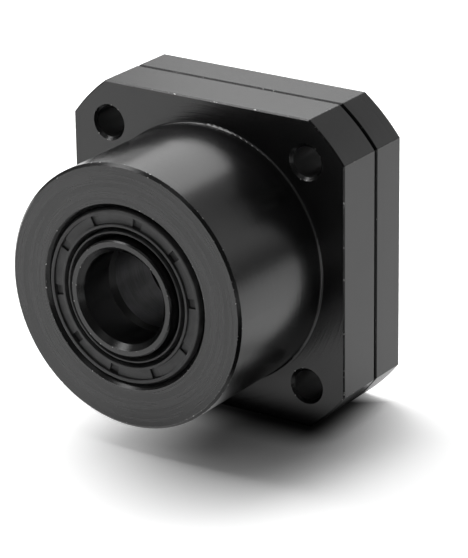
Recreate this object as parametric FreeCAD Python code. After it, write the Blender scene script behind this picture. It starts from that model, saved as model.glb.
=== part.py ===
import FreeCAD, Part
import math
import os

# Fixed-side support unit for the end of a ball screw.
# A turned barrel with a square flange holds two angular contact ball bearings face to face.
# A lid of the flange's outline clamps their outer rings, and an oil seal closes each end.
# Two collars carry the screw's clamping force to the inner rings.
# Frame: origin on the bore axis at the flange's mounting face, barrel and nose towards -Y,
# lid towards +Y, +Z up. All sizes are in millimetres.

# Shaft, collars and bearings
shaft_diameter = 20.0
bearing_section = 13.5
bearing_width = 14.0
bearing_corner = 1.2
ball_diameter = 7.938
ball_spacing_ratio = 1.15
contact_angle_deg = 30.0
groove_conformity = 0.52
ball_clearance = 0.02
high_shoulder_depth = 1.4
low_shoulder_depth = 0.5
cage_thickness = 2.4
cage_rim = 1.6
cage_pocket_clearance = 0.15
collar_wall = 2.5
collar_protrusion = 1.2
collar_mouth_chamfer = 1.15
collar_inner_chamfer = 1.2
collar_edge_chamfer = 0.3

# Oil seals
seal_section = 6.5
seal_width = 7.0
seal_edge_chamfer = 0.4
seal_rim_width = 1.0
seal_inner_rim_width = 0.5
seal_groove_width = 0.85
seal_groove_depth = 2.0
seal_lip_edge_width = 0.35
seal_lip_reach = 1.2
seal_lip_clearance = 0.05
seal_recess_depth = 0.6
seal_notch_count = 10
seal_notch_width = 1.9
seal_notch_depth = 1.8
seal_notch_angle_deg = 6.4
seal_case_wall = 0.8
seal_skin = 0.8
seal_case_to_groove = 0.3
lip_waist_depth = 0.8
lip_waist_overlap = 0.4
garter_wire_radius = 0.75
garter_inset = 1.43
garter_seat = 1.88
lip_heel = 1.8
lip_end_gap = 0.45
lip_end_reach = 2.25

# Housing and lid
barrel_wall = 5.0
nose_web = 2.6
nose_web_step = 2.5
nose_chamfer = 0.6
pocket_chamfer = 1.0
barrel_root_fillet = 0.5
flange_lip = 5.5
flange_thickness = 12.0
flange_edge_chamfer = 0.3
lid_gap = 0.6
lid_web = 2.4
lid_spigot_length = 5.0
lid_spigot_clearance = 0.03
seat_mouth_chamfer = 0.5

# Mounting holes in the corners, on a circle round the bore
hole_to_barrel = 6.5
hole_to_corner = 7.5
mounting_hole_diameter = 6.6
mounting_hole_chamfer = 0.7
counterbore_diameter = 11.0
counterbore_chamfer = 0.3

# Socket head screws that hold the lid, one in the middle of each side
lid_screw_count = 4
lid_screw_diameter = 4.0
lid_screw_length = 12.0
lid_screw_head_diameter = 7.0
lid_screw_head_height = 4.0
lid_screw_head_chamfer = 0.4
lid_screw_socket_width = 3.0
lid_screw_socket_depth = 2.0
lid_screw_hole_clearance = 0.25
lid_screw_head_clearance = 0.3
lid_screw_sink = 0.4
tapped_hole_runout = 2.0
drill_point_ratio = 0.6

# Sizes that follow from the ones above
bore_radius = shaft_diameter / 2
seat_radius = bore_radius + bearing_section
pitch_radius = bore_radius + bearing_section / 2
ball_radius = ball_diameter / 2
groove_radius = groove_conformity * ball_diameter
groove_offset = groove_radius - ball_radius - ball_clearance
ball_count = int(2 * math.pi * pitch_radius / (ball_spacing_ratio * ball_diameter))
cage_width = ball_diameter + 2 * cage_rim
collar_radius = bore_radius + collar_wall
seal_radius = collar_radius + seal_section
web_bore_radius = seal_radius - nose_web_step
barrel_radius = seat_radius + barrel_wall
flange_half = barrel_radius + flange_lip
hole_circle_radius = barrel_radius + hole_to_barrel
corner_radius = hole_circle_radius + hole_to_corner
hole_half_spacing = hole_circle_radius / math.sqrt(2)
lid_screw_circle_radius = (seat_radius + flange_half) / 2

# Places along the axis
lid_front = flange_thickness + lid_gap
lid_thickness = lid_web + seal_width
lid_back = lid_front + lid_thickness
bearings_back = lid_front - lid_spigot_length
bearings_middle = bearings_back - bearing_width
bearings_front = bearings_middle - bearing_width
nose_face = bearings_front - nose_web - seal_width
lid_screw_seat = lid_back - lid_screw_sink - lid_screw_head_height
lid_screw_tip = lid_screw_seat - lid_screw_length
margin = 1.0

AXIS = FreeCAD.Vector(0, 1, 0)
ORIGIN = FreeCAD.Vector(0, 0, 0)
UP = FreeCAD.Vector(0, 0, 1)


def turned(points):
    """Solid of revolution about the Y axis, from (radius, y) corners."""
    corners = [FreeCAD.Vector(radius, y, 0) for radius, y in points]
    face = Part.Face(Part.makePolygon(corners + corners[:1]))
    solid = face.revolve(ORIGIN, AXIS, 360)
    if solid.Volume < 0:
        solid.reverse()
    return solid


def moved(shape, x=0.0, y=0.0, z=0.0):
    """Copy of a shape, shifted."""
    copy = shape.copy()
    copy.translate(FreeCAD.Vector(x, y, z))
    return copy


def spun(shape, angle_deg):
    """Copy of a shape, turned about the bore axis so that +X goes towards +Z."""
    copy = shape.copy()
    copy.rotate(ORIGIN, AXIS, -angle_deg)
    return copy


def facing_back(shape):
    """Copy of a shape, turned half round about Z, so that its front faces +Y."""
    copy = shape.copy()
    copy.rotate(ORIGIN, UP, 180)
    return copy


def chamfered_outline(solid, half, size):
    """Chamfer the outline edges of a plate, on both of its faces."""
    edges = []
    for edge in solid.Edges:
        box = edge.BoundBox
        reach = max(abs(box.XMin), abs(box.XMax), abs(box.ZMin), abs(box.ZMax))
        if box.YLength < 1e-6 and reach > half / 2:
            edges.append(edge)
    return solid.makeChamfer(size, edges)


def plate(front, back):
    """Square plate whose corners are turned to a circle, with broken edges."""
    width = 2 * flange_half
    corner = FreeCAD.Vector(-flange_half, front, -flange_half)
    square = Part.makeBox(width, back - front, width, corner)
    disc = Part.makeCylinder(corner_radius, back - front, FreeCAD.Vector(0, front, 0), AXIS)
    return chamfered_outline(square.common(disc), flange_half, flange_edge_chamfer)


def at_mounting_holes(shape):
    """One copy of a shape at each of the four corner holes."""
    signs = [(1, 1), (-1, 1), (-1, -1), (1, -1)]
    return [moved(shape, x * hole_half_spacing, 0, z * hole_half_spacing) for x, z in signs]


def at_lid_screws(shape):
    """One copy of a shape at the middle of each side."""
    first = moved(shape, lid_screw_circle_radius)
    return [spun(first, index * 360 / lid_screw_count) for index in range(lid_screw_count)]


def mounting_hole(front, back):
    """Clearance hole for a mounting screw, with a countersunk mouth at the front."""
    radius = mounting_hole_diameter / 2
    return turned([
        (0, front - margin),
        (radius + mounting_hole_chamfer + margin, front - margin),
        (radius, front + mounting_hole_chamfer),
        (radius, back + margin),
        (0, back + margin),
    ])


def counterbore(front, back):
    """Hole that takes a mounting screw's head, with its edge broken at the back."""
    radius = counterbore_diameter / 2
    return turned([
        (0, front - margin),
        (radius, front - margin),
        (radius, back - counterbore_chamfer),
        (radius + counterbore_chamfer + margin, back + margin),
        (0, back + margin),
    ])


def tapped_hole():
    """Blind hole for a lid screw, from the flange's back face to its drill point."""
    radius = lid_screw_diameter / 2
    bottom = lid_screw_tip - tapped_hole_runout
    return turned([
        (0, bottom - drill_point_ratio * radius),
        (radius, bottom),
        (radius, flange_thickness + margin),
        (0, flange_thickness + margin),
    ])


def lid_screw_hole():
    """Clearance hole and sunk seat for a lid screw, through the lid."""
    shank = lid_screw_diameter / 2 + lid_screw_hole_clearance
    head = lid_screw_head_diameter / 2 + lid_screw_head_clearance
    return turned([
        (0, lid_front - margin),
        (shank, lid_front - margin),
        (shank, lid_screw_seat),
        (head, lid_screw_seat),
        (head, lid_back + margin),
        (0, lid_back + margin),
    ])


def housing():
    """Barrel and flange, turned from one piece, bored from the back, with a seal pocket in the nose."""
    barrel = turned([
        (0, nose_face),
        (barrel_radius - nose_chamfer, nose_face),
        (barrel_radius, nose_face + nose_chamfer),
        (barrel_radius, flange_thickness / 2),
        (0, flange_thickness / 2),
    ])
    body = plate(0, flange_thickness).fuse(barrel).removeSplitter()
    root = []
    for edge in body.Edges:
        curve = edge.Curve
        if isinstance(curve, Part.Circle) and abs(curve.Radius - barrel_radius) < 1e-6:
            if abs(edge.BoundBox.YMin) < 1e-6 and abs(edge.BoundBox.YMax) < 1e-6:
                root.append(edge)
    body = body.makeFillet(barrel_root_fillet, root)
    seal_pocket_back = nose_face + seal_width
    bored = turned([
        (0, nose_face - margin),
        (seal_radius + pocket_chamfer + margin, nose_face - margin),
        (seal_radius, nose_face + pocket_chamfer),
        (seal_radius, seal_pocket_back),
        (web_bore_radius, seal_pocket_back),
        (web_bore_radius, bearings_front),
        (seat_radius, bearings_front),
        (seat_radius, flange_thickness - seat_mouth_chamfer),
        (seat_radius + seat_mouth_chamfer + margin, flange_thickness + margin),
        (0, flange_thickness + margin),
    ])
    holes = at_mounting_holes(mounting_hole(0, flange_thickness)) + at_lid_screws(tapped_hole())
    return body.cut([bored] + holes)


def housing_in_two():
    """The housing as a plain barrel and a plain plate, which meet where the root fillet starts."""
    meeting_plane = -barrel_root_fillet
    front_side = turned([
        (0, nose_face - margin),
        (corner_radius + margin, nose_face - margin),
        (corner_radius + margin, meeting_plane),
        (0, meeting_plane),
    ])
    whole = housing()
    return whole.common(front_side), whole.cut(front_side)


def retaining_lid():
    """Plate with a spigot that presses on the rear bearing, and a pocket for the rear seal."""
    spigot_radius = seat_radius - lid_spigot_clearance
    spigot = turned([
        (web_bore_radius, bearings_back),
        (spigot_radius - seat_mouth_chamfer, bearings_back),
        (spigot_radius, bearings_back + seat_mouth_chamfer),
        (spigot_radius, lid_front + lid_web / 2),
        (web_bore_radius, lid_front + lid_web / 2),
    ])
    body = plate(lid_front, lid_back).fuse(spigot).removeSplitter()
    bored = turned([
        (0, lid_front - margin),
        (web_bore_radius, lid_front - margin),
        (web_bore_radius, lid_front + lid_web),
        (seal_radius, lid_front + lid_web),
        (seal_radius, lid_back - pocket_chamfer),
        (seal_radius + pocket_chamfer + margin, lid_back + margin),
        (0, lid_back + margin),
    ])
    holes = at_mounting_holes(counterbore(lid_front, lid_back)) + at_lid_screws(lid_screw_hole())
    return body.cut([bored] + holes)


def lid_screws():
    """Four socket head cap screws, seated in the lid and run into the flange."""
    head_radius = lid_screw_head_diameter / 2
    head_top = lid_screw_seat + lid_screw_head_height
    shank_radius = lid_screw_diameter / 2
    screw = turned([
        (0, lid_screw_tip),
        (shank_radius - lid_screw_head_chamfer, lid_screw_tip),
        (shank_radius, lid_screw_tip + lid_screw_head_chamfer),
        (shank_radius, lid_screw_seat),
        (head_radius, lid_screw_seat),
        (head_radius, head_top - lid_screw_head_chamfer),
        (head_radius - lid_screw_head_chamfer, head_top),
        (0, head_top),
    ])
    across_corners = lid_screw_socket_width / math.sqrt(3)
    corners = []
    for index in range(6):
        angle = math.radians(60 * index)
        x = across_corners * math.cos(angle)
        z = across_corners * math.sin(angle)
        corners.append(FreeCAD.Vector(x, head_top - lid_screw_socket_depth, z))
    hexagon = Part.Face(Part.makePolygon(corners + corners[:1]))
    socket = hexagon.extrude(AXIS * (lid_screw_socket_depth + margin))
    return Part.Compound(at_lid_screws(screw.cut(socket)))


def collar(front, back, mouth_at_front):
    """Spacer ring between the screw's clamping faces and an inner ring."""
    front_chamfer = collar_mouth_chamfer if mouth_at_front else collar_inner_chamfer
    back_chamfer = collar_inner_chamfer if mouth_at_front else collar_mouth_chamfer
    return turned([
        (bore_radius + front_chamfer, front),
        (collar_radius - collar_edge_chamfer, front),
        (collar_radius, front + collar_edge_chamfer),
        (collar_radius, back - collar_edge_chamfer),
        (collar_radius - collar_edge_chamfer, back),
        (bore_radius + back_chamfer, back),
        (bore_radius, back - back_chamfer),
        (bore_radius, front + front_chamfer),
    ])


def raceway(side):
    """Ring groove for the balls. side is 1 for the outer ring and -1 for the inner one."""
    angle = math.radians(contact_angle_deg)
    major = pitch_radius - side * groove_offset * math.cos(angle)
    middle = side * groove_offset * math.sin(angle)
    return Part.makeTorus(major, groove_radius, FreeCAD.Vector(0, middle, 0), AXIS)


# Each bearing is drawn about its own middle, with the outer ring's high shoulder towards -Y.
def outer_ring():
    """Outer ring: full shoulder at the front, relieved one at the back."""
    half = bearing_width / 2
    high = pitch_radius + ball_radius - high_shoulder_depth
    low = pitch_radius + ball_radius - low_shoulder_depth
    ring = turned([
        (high, -half),
        (seat_radius - bearing_corner, -half),
        (seat_radius, bearing_corner - half),
        (seat_radius, half - bearing_corner),
        (seat_radius - bearing_corner, half),
        (low, half),
        (low, 0),
        (high, 0),
    ])
    return ring.cut(raceway(1))


def inner_ring():
    """Inner ring: relieved shoulder at the front, full one at the back."""
    half = bearing_width / 2
    high = pitch_radius - ball_radius + high_shoulder_depth
    low = pitch_radius - ball_radius + low_shoulder_depth
    ring = turned([
        (bore_radius, bearing_corner - half),
        (bore_radius + bearing_corner, -half),
        (low, -half),
        (low, 0),
        (high, 0),
        (high, half),
        (bore_radius + bearing_corner, half),
        (bore_radius, half - bearing_corner),
    ])
    return ring.cut(raceway(-1))


def ball_places():
    """Angles of the balls about the bore axis, in degrees."""
    return [index * 360 / ball_count for index in range(ball_count)]


def ball():
    """One ball, on the +X side."""
    return Part.makeSphere(ball_radius, FreeCAD.Vector(pitch_radius, 0, 0))


def cage():
    """Solid ring with a round window for each ball."""
    half = cage_width / 2
    inner = pitch_radius - cage_thickness / 2
    outer = pitch_radius + cage_thickness / 2
    ring = turned([(inner, -half), (outer, -half), (outer, half), (inner, half)])
    start = FreeCAD.Vector(inner - margin, 0, 0)
    length = cage_thickness + 2 * margin
    across = FreeCAD.Vector(1, 0, 0)
    window = Part.makeCylinder(ball_radius + cage_pocket_clearance, length, start, across)
    return ring.cut([spun(window, angle) for angle in ball_places()])


# Each seal is drawn with its outside face at y = 0 and its body towards +Y.
def garter_spring():
    """Closed coil spring round the main lip, drawn as a plain ring."""
    middle = FreeCAD.Vector(0, seal_width - garter_inset, 0)
    return Part.makeTorus(collar_radius + garter_seat, garter_wire_radius, middle, AXIS)


def seal_case():
    """Pressed steel ring inside the rubber: a cylinder with an inturned flange."""
    outer = seal_radius - seal_skin
    front = seal_recess_depth + seal_notch_depth
    groove_out = collar_radius + seal_lip_reach + seal_lip_edge_width + seal_groove_width
    inner = groove_out + seal_case_to_groove
    return turned([
        (inner, front),
        (outer, front),
        (outer, seal_width - seal_skin),
        (outer - seal_case_wall, seal_width - seal_skin),
        (outer - seal_case_wall, front + seal_case_wall),
        (inner, front + seal_case_wall),
    ])


def seal_rubber():
    """Rubber of a two-lip oil seal, with moulding notches in its outside face."""
    rim_out = seal_radius - seal_edge_chamfer
    rim_in = rim_out - seal_rim_width
    lip_in = collar_radius + seal_lip_reach
    lip_out = lip_in + seal_lip_edge_width
    inner_rim_in = lip_out + seal_groove_width
    inner_rim_out = inner_rim_in + seal_inner_rim_width
    touch = collar_radius + seal_lip_clearance
    case_front = seal_recess_depth + seal_notch_depth
    web_back = case_front + seal_case_wall + seal_skin
    skirt_in = seal_radius - 2 * seal_skin - seal_case_wall
    body = turned([
        (seal_radius, seal_edge_chamfer),
        (rim_out, 0),
        (rim_in, 0),
        (rim_in, seal_recess_depth),
        (inner_rim_out, seal_recess_depth),
        (inner_rim_out, 0),
        (inner_rim_in, 0),
        ((inner_rim_in + lip_out) / 2, seal_groove_depth),
        (lip_out, 0),
        (lip_in, 0),
        (touch, case_front),
        (touch + lip_waist_depth, web_back - lip_waist_overlap),
        (touch, seal_width - lip_heel),
        (touch + garter_wire_radius, seal_width - lip_end_gap),
        (touch + lip_end_reach, seal_width - lip_end_gap),
        (touch + lip_end_reach, web_back),
        (skirt_in, web_back),
        (skirt_in, seal_width),
        (seal_radius, seal_width),
    ])
    pad_ring = turned([
        (inner_rim_out, 0),
        (rim_in, 0),
        (rim_in, case_front),
        (inner_rim_out, case_front),
    ])
    corner = FreeCAD.Vector(0, 0, -seal_notch_width / 2)
    slot = Part.makeBox(seal_radius, case_front, seal_notch_width, corner)
    notches = []
    for index in range(seal_notch_count):
        angle = seal_notch_angle_deg + index * 360 / seal_notch_count
        notches.append(pad_ring.common(spun(slot, angle)))
    return body.cut([seal_case(), garter_spring()] + notches)


def save(node, shape):
    """Write one node to its own file."""
    shape.exportStep("parts/" + node + ".step")
    print(f"{node:22s} {len(shape.Solids):2d} solids {shape.Volume / 1000:8.3f} cm3 valid {shape.isValid()}")


def main():
    os.makedirs("parts", exist_ok=True)
    barrel, flange = housing_in_two()
    save("housing_barrel", barrel)
    save("housing_flange", flange)
    save("retaining_lid", retaining_lid())
    save("lid_screws", lid_screws())
    save("front_collar", collar(nose_face - collar_protrusion, bearings_front, True))
    save("rear_collar", collar(bearings_back, lid_back + collar_protrusion, False))
    front_middle = (bearings_front + bearings_middle) / 2
    rear_middle = (bearings_middle + bearings_back) / 2
    for name, make in (("outer_ring", outer_ring), ("inner_ring", inner_ring), ("cage", cage)):
        piece = make()
        save("front_" + name, moved(piece, y=front_middle))
        save("rear_" + name, moved(facing_back(piece), y=rear_middle))
    for number, angle in enumerate(ball_places(), start=1):
        piece = spun(ball(), angle)
        save(f"front_ball_{number:02d}", moved(piece, y=front_middle))
        save(f"rear_ball_{number:02d}", moved(facing_back(piece), y=rear_middle))
    seal_pieces = (("seal_rubber", seal_rubber), ("seal_case", seal_case), ("seal_spring", garter_spring))
    for name, make in seal_pieces:
        piece = make()
        save("front_" + name, moved(piece, y=nose_face))
        save("rear_" + name, moved(facing_back(piece), y=lid_back))
    print(f"barrel {2 * barrel_radius:.2f} x {-nose_face:.2f}, flange {2 * flange_half:.2f} square,"
          f" corners {2 * corner_radius:.2f}, plates {lid_back:.2f}, holes on {2 * hole_circle_radius:.2f},"
          f" {ball_count} balls a bearing")


main()
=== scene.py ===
# %% [markdown]
# # A ball screw end support in black oxide
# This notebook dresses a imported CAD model: a turned barrel with a square flange, the lid behind
# it, two oil seals, and a pair of ball bearings inside. The CAD model gives every place and size,
# so the work here is finishes, a few finely shaped small pieces, and the studio round them.

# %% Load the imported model
import math
import bmesh
import bpy
from mathutils import Matrix, Vector


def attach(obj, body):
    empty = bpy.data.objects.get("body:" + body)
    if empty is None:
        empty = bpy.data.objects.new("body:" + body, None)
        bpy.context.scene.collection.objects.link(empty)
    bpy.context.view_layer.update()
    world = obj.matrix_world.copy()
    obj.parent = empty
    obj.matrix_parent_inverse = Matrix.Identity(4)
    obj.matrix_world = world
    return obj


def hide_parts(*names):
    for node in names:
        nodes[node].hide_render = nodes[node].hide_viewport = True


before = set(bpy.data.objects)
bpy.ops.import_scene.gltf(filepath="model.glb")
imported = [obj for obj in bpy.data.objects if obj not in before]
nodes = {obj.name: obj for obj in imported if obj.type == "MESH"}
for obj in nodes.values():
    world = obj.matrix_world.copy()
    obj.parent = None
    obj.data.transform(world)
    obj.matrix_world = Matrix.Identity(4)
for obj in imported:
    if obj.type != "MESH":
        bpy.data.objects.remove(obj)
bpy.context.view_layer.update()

# %% [markdown]
# ## Sizes that the finishes and the new pieces share
# Wear gathers on edges, so the finishes have to know where the edges are. These are the
# drawing's sizes in millimetres, on the same axes as the model: the bore runs along Y, and the
# flange's mounting face is at y = 0.

# %% Sizes in millimetres
MM = 0.001
barrel_radius = 28.5
nose_face = -30.0
nose_chamfer = 0.6
pocket_radius = 19.0
pocket_chamfer = 1.0
flange_half = 34.0
flange_thickness = 12.0
lid_front = 12.6
lid_back = 22.0
corner_radius = 42.5
edge_chamfer = 0.3
hole_spacing = 24.7487
hole_radius = 3.3
hole_chamfer = 0.7
well_radius = 5.5
collar_radius = 12.5
collar_bore = 10.0
collar_mouth = 1.15
collar_front = -31.2
collar_back = 23.2
floor_level = -34.0
side_half_width = math.sqrt(corner_radius ** 2 - flange_half ** 2)
print("half of a flat side, from corner to corner:", round(side_half_width, 2), "mm")

# %% [markdown]
# ## Helpers for building node trees
# A node tree made in code soon hides its idea behind its wiring. These helpers add a node, set
# its values or links, and hand back its output, so that a finish reads like a formula.

# %% Helpers for nodes and numbers
def wire(tree, socket, value):
    """Link an output into a socket, or set the socket's plain value."""
    if isinstance(value, bpy.types.NodeSocket):
        tree.links.new(value, socket)
    else:
        socket.default_value = value


def put(tree, kind, inputs=None, **settings):
    """Add a node with its settings, and fill its input sockets by name."""
    made = tree.nodes.new(kind)
    for name, value in settings.items():
        setattr(made, name, value)
    for name, value in (inputs or {}).items():
        wire(tree, made.inputs[name], value)
    return made


def calc(tree, operation, *values, kind="ShaderNodeMath", output=0):
    """One step of arithmetic on numbers or outputs."""
    made = put(tree, kind, operation=operation)
    for socket, value in zip(made.inputs, values):
        wire(tree, socket, value)
    return made.outputs[output]


def times(tree, value, share):
    """One value times another."""
    return calc(tree, "MULTIPLY", value, share)


def minus(tree, value, other):
    """One value less another."""
    return calc(tree, "SUBTRACT", value, other)


def combine(tree, operation, *values):
    """Several values brought into one, such as their MINIMUM, their MAXIMUM or their sum."""
    total = values[0]
    for value in values[1:]:
        total = calc(tree, operation, total, value)
    return total


def mixture(tree, *parts):
    """The sum of several values, each times its own share, given as (value, share)."""
    return combine(tree, "ADD", *[times(tree, value, share) for value, share in parts])


def fade(tree, value, from_low, from_high, to_low=0.0, to_high=1.0):
    """A smooth step from one value to another, as the input goes from low to high."""
    made = put(
        tree,
        "ShaderNodeMapRange",
        {"Value": value, "From Min": from_low, "From Max": from_high, "To Min": to_low, "To Max": to_high},
        interpolation_type="SMOOTHSTEP",
    )
    return made.outputs["Result"]


# %% Helpers for colours and places
mix_sockets = {"FLOAT": (2, 3, 0), "RGBA": (6, 7, 2)}


def blend(tree, factor, first, second, kind="RGBA"):
    """A colour, or a number where kind is FLOAT, between two others."""
    made = put(tree, "ShaderNodeMix", data_type=kind)
    first_place, second_place, result = mix_sockets[kind]
    for place, value in ((0, factor), (first_place, first), (second_place, second)):
        wire(tree, made.inputs[place], value)
    return made.outputs[result]


def noise(tree, place, scale, detail):
    """Smooth random values from 0 to 1 that change from place to place."""
    made = put(tree, "ShaderNodeTexNoise", {"Vector": place, "Scale": scale, "Detail": detail})
    return made.outputs["Fac"]


def calc_vector(tree, operation, *values, output="Vector"):
    """One step of arithmetic on vectors."""
    return calc(tree, operation, *values, kind="ShaderNodeVectorMath", output=output)


def split(tree, vector):
    """The x, y and z of a vector."""
    return put(tree, "ShaderNodeSeparateXYZ", {"Vector": vector}).outputs


def join(tree, x, y, z):
    """A vector from its x, y and z."""
    return put(tree, "ShaderNodeCombineXYZ", {"X": x, "Y": y, "Z": z}).outputs["Vector"]


def length(tree, vector):
    """How long a vector is."""
    return calc_vector(tree, "LENGTH", vector, output="Value")


def span(tree, first, second):
    """The straight distance across two steps that are square to each other."""
    return length(tree, join(tree, first, second, 0.0))


def flattened(tree, position):
    """A position as it is seen along the bore, with its y set to 0."""
    return calc_vector(tree, "MULTIPLY", position, (1.0, 0.0, 1.0))


def off_bore(tree, position):
    """How far a position is from the bore's axis."""
    return length(tree, flattened(tree, position))


def along_bore(tree, position):
    """How far along the bore's axis a position is."""
    return split(tree, position)["Y"]


def to_circle(tree, outward, circle_radius, along, circle_place):
    """The distance to a circle, from how far a point is off the circle's axis and along it."""
    across = minus(tree, outward, circle_radius)
    return span(tree, across, minus(tree, along, circle_place))


# %% Helpers for node groups
def new_group(name, takes, gives):
    """A group that takes a position and numbers, and gives numbers. Returns it and both ends."""
    group = bpy.data.node_groups.new(name, "ShaderNodeTree")
    group.interface.new_socket("Position", in_out="INPUT", socket_type="NodeSocketVector")
    for label, start in takes.items():
        socket = group.interface.new_socket(label, in_out="INPUT", socket_type="NodeSocketFloat")
        socket.default_value = start
    for label in gives:
        group.interface.new_socket(label, in_out="OUTPUT", socket_type="NodeSocketFloat")
    inside = group.nodes.new("NodeGroupInput")
    outside = group.nodes.new("NodeGroupOutput")
    print("group:", name, "takes", list(takes), "gives", gives)
    return group, inside.outputs, outside.inputs


def fill(tree, made, **inputs):
    """Set or link a node's inputs by name. Underscores in the names stand for spaces."""
    for name, value in inputs.items():
        wire(tree, made.inputs[name.replace("_", " ")], value)
    return made.outputs


def use_group(tree, group, position, **inputs):
    """Place a group in a tree."""
    return fill(tree, put(tree, "ShaderNodeGroup", node_tree=group), Position=position, **inputs)


# %% [markdown]
# ## Turning marks
# A lathe leaves one long, very fine groove, so a turned face shows rings and a turned barrel
# shows bands. They differ in depth and tone, and each one fades in and out round the circle. A
# wave texture would be too regular. Here a four-dimensional noise is stretched round the bore's
# axis: it changes fast with radius and with depth, and slowly with direction, which goes in as a
# point on a small circle, so that there is no seam.

# %% Group: turning marks
turning_marks, takes, gives = new_group("turning marks", {"Pitch": 0.3, "Length": 1.5}, ["Fine", "Broad"])
tree = turning_marks
position = takes["Position"]
heading = split(tree, calc_vector(tree, "NORMALIZE", flattened(tree, position)))
heading_x = times(tree, heading["X"], takes["Length"])
heading_z = times(tree, heading["Z"], takes["Length"])
across = calc(tree, "DIVIDE", off_bore(tree, position), takes["Pitch"])
along = calc(tree, "DIVIDE", along_bore(tree, position), takes["Pitch"])
for name, coarseness in (("Fine", 1.0), ("Broad", 0.34)):
    ring_place = join(tree, heading_x, heading_z, times(tree, across, coarseness))
    band_place = times(tree, along, coarseness)
    groove = put(
        tree,
        "ShaderNodeTexNoise",
        {"Vector": ring_place, "W": band_place, "Scale": 1.0, "Detail": 2.0},
        noise_dimensions="4D",
    )
    wire(tree, gives[name], groove.outputs["Fac"])

# %% [markdown]
# ## Milling marks and clouds
# The flange's four sides are milled, with faint straight lines along each side. Black oxide also
# takes unevenly, in soft clouds a few millimetres wide with a fine grain in them. A picture could
# be laid on, but it would repeat. Both are noises instead: the first is stretched along the side.

# %% Group: milling marks
line_stretch = 0.06
milling_marks, takes, gives = new_group("milling marks", {"Pitch": 0.3}, ["Lines"])
tree = milling_marks
place = split(tree, takes["Position"])
line_place = join(
    tree,
    times(tree, place["X"], line_stretch),
    calc(tree, "DIVIDE", place["Y"], takes["Pitch"]),
    times(tree, place["Z"], line_stretch),
)
wire(tree, gives["Lines"], noise(tree, line_place, scale=1.0, detail=2.0))

# %% Group: oxide clouds
clouds, takes, gives = new_group("oxide clouds", {"Size": 6.0}, ["Tone", "Grain"])
tree = clouds
for name, share_of_size in (("Tone", 1.0), ("Grain", 0.06)):
    scale = calc(tree, "DIVIDE", 1.0 / share_of_size, takes["Size"])
    wire(tree, gives[name], noise(tree, takes["Position"], scale, detail=3.0))

# %% [markdown]
# ## Distances to the edges
# Handling rubs the oxide off the edges first. A renderer can find edges by itself, but an
# exported model can't, so the distance to the nearest edge is worked out from the drawing.
# One group measures to a turned edge, a circle of a given radius and place on the axis. The
# other measures to the outline of a plate, and to the lines where its sides meet its corners.

# %% Group: distance to a turned edge
turned_edge, takes, gives = new_group(
    "distance to a turned edge", {"Radius": 10.0, "Place": 0.0}, ["Distance"]
)
tree = turned_edge
position = takes["Position"]
outward = off_bore(tree, position)
along = along_bore(tree, position)
wire(tree, gives["Distance"], to_circle(tree, outward, takes["Radius"], along, takes["Place"]))

# %% Group: distance to a plate's edges
plate_edge, takes, gives = new_group(
    "distance to a plate's edges", {"Front": 0.0, "Back": 12.0}, ["Distance", "On Side"]
)
tree = plate_edge
position = takes["Position"]
half_chamfer = edge_chamfer / 2
side_skin = (-0.08, -0.02)
ways = split(tree, calc_vector(tree, "ABSOLUTE", flattened(tree, position)))
past_side = minus(tree, calc(tree, "MAXIMUM", ways["X"], ways["Z"]), flange_half)
past_corner = minus(tree, off_bore(tree, position), corner_radius)
past_outline = calc(tree, "MAXIMUM", past_side, past_corner)
from_outline = calc(tree, "ADD", past_outline, half_chamfer)
nearest = span(tree, past_side, past_corner)
for name, inward in (("Front", half_chamfer), ("Back", -half_chamfer)):
    past_face = minus(tree, along_bore(tree, position), takes[name])
    from_face = minus(tree, past_face, inward)
    nearest = calc(tree, "MINIMUM", nearest, span(tree, from_face, from_outline))
wire(tree, gives["Distance"], nearest)
wire(tree, gives["On Side"], fade(tree, past_side, *side_skin))

# %% [markdown]
# ## Edge wear and dust
# Wear isn't an even line: it comes and goes along the edge, and here and there a knock has left
# a bright nick. Each is a noise that shows only near the edge and only above a threshold, which
# sinks as the amount of wear goes up. The second group scatters a few bright specks. It divides
# space into random cells, and puts a speck only in those whose random number is low enough.

# %% Group: edge wear
edge_wear, takes, gives = new_group(
    "edge wear", {"Distance": 1.0, "Width": 0.25, "Amount": 0.5}, ["Rub", "Nicks"]
)
tree = edge_wear
near = fade(tree, takes["Distance"], takes["Width"], 0.0)
for name, scale, detail, start, sinks_by, softness in (
    ("Rub", 0.35, 4.0, 0.76, 0.4, 0.15),
    ("Nicks", 1.9, 1.0, 0.805, 0.2, 0.04),
):
    patches = noise(tree, takes["Position"], scale, detail)
    threshold = minus(tree, start, times(tree, takes["Amount"], sinks_by))
    showing = fade(tree, patches, threshold, calc(tree, "ADD", threshold, softness))
    wire(tree, gives[name], times(tree, near, showing))

# %% Group: dust specks
dust_specks, takes, gives = new_group(
    "dust specks", {"Spacing": 5.0, "Size": 0.1, "Share": 0.3}, ["Specks"]
)
tree = dust_specks
cells_per_mm = calc(tree, "DIVIDE", 1.0, takes["Spacing"])
cells = put(tree, "ShaderNodeTexVoronoi", {"Vector": takes["Position"], "Scale": cells_per_mm})
reach = times(tree, cells.outputs["Distance"], takes["Spacing"])
dot = fade(tree, reach, takes["Size"], 0.0)
lot = split(tree, cells.outputs["Color"])["X"]
chosen = calc(tree, "LESS_THAN", lot, takes["Share"])
wire(tree, gives["Specks"], times(tree, dot, chosen))

# %% [markdown]
# ## What every finish starts with
# A finish needs a shader with its refractive index, and places to draw its marks by. Those are
# Object coordinates, because they stay on the piece when it turns, and in millimetres, because
# the drawing is. Noises gather round 0.5, so each is stretched from a narrow range, named here.

# %% Start a finish
tone_range = (0.35, 0.65)
cloud_range = (0.3, 0.7)
grain_range = (0.2, 0.8)


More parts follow.
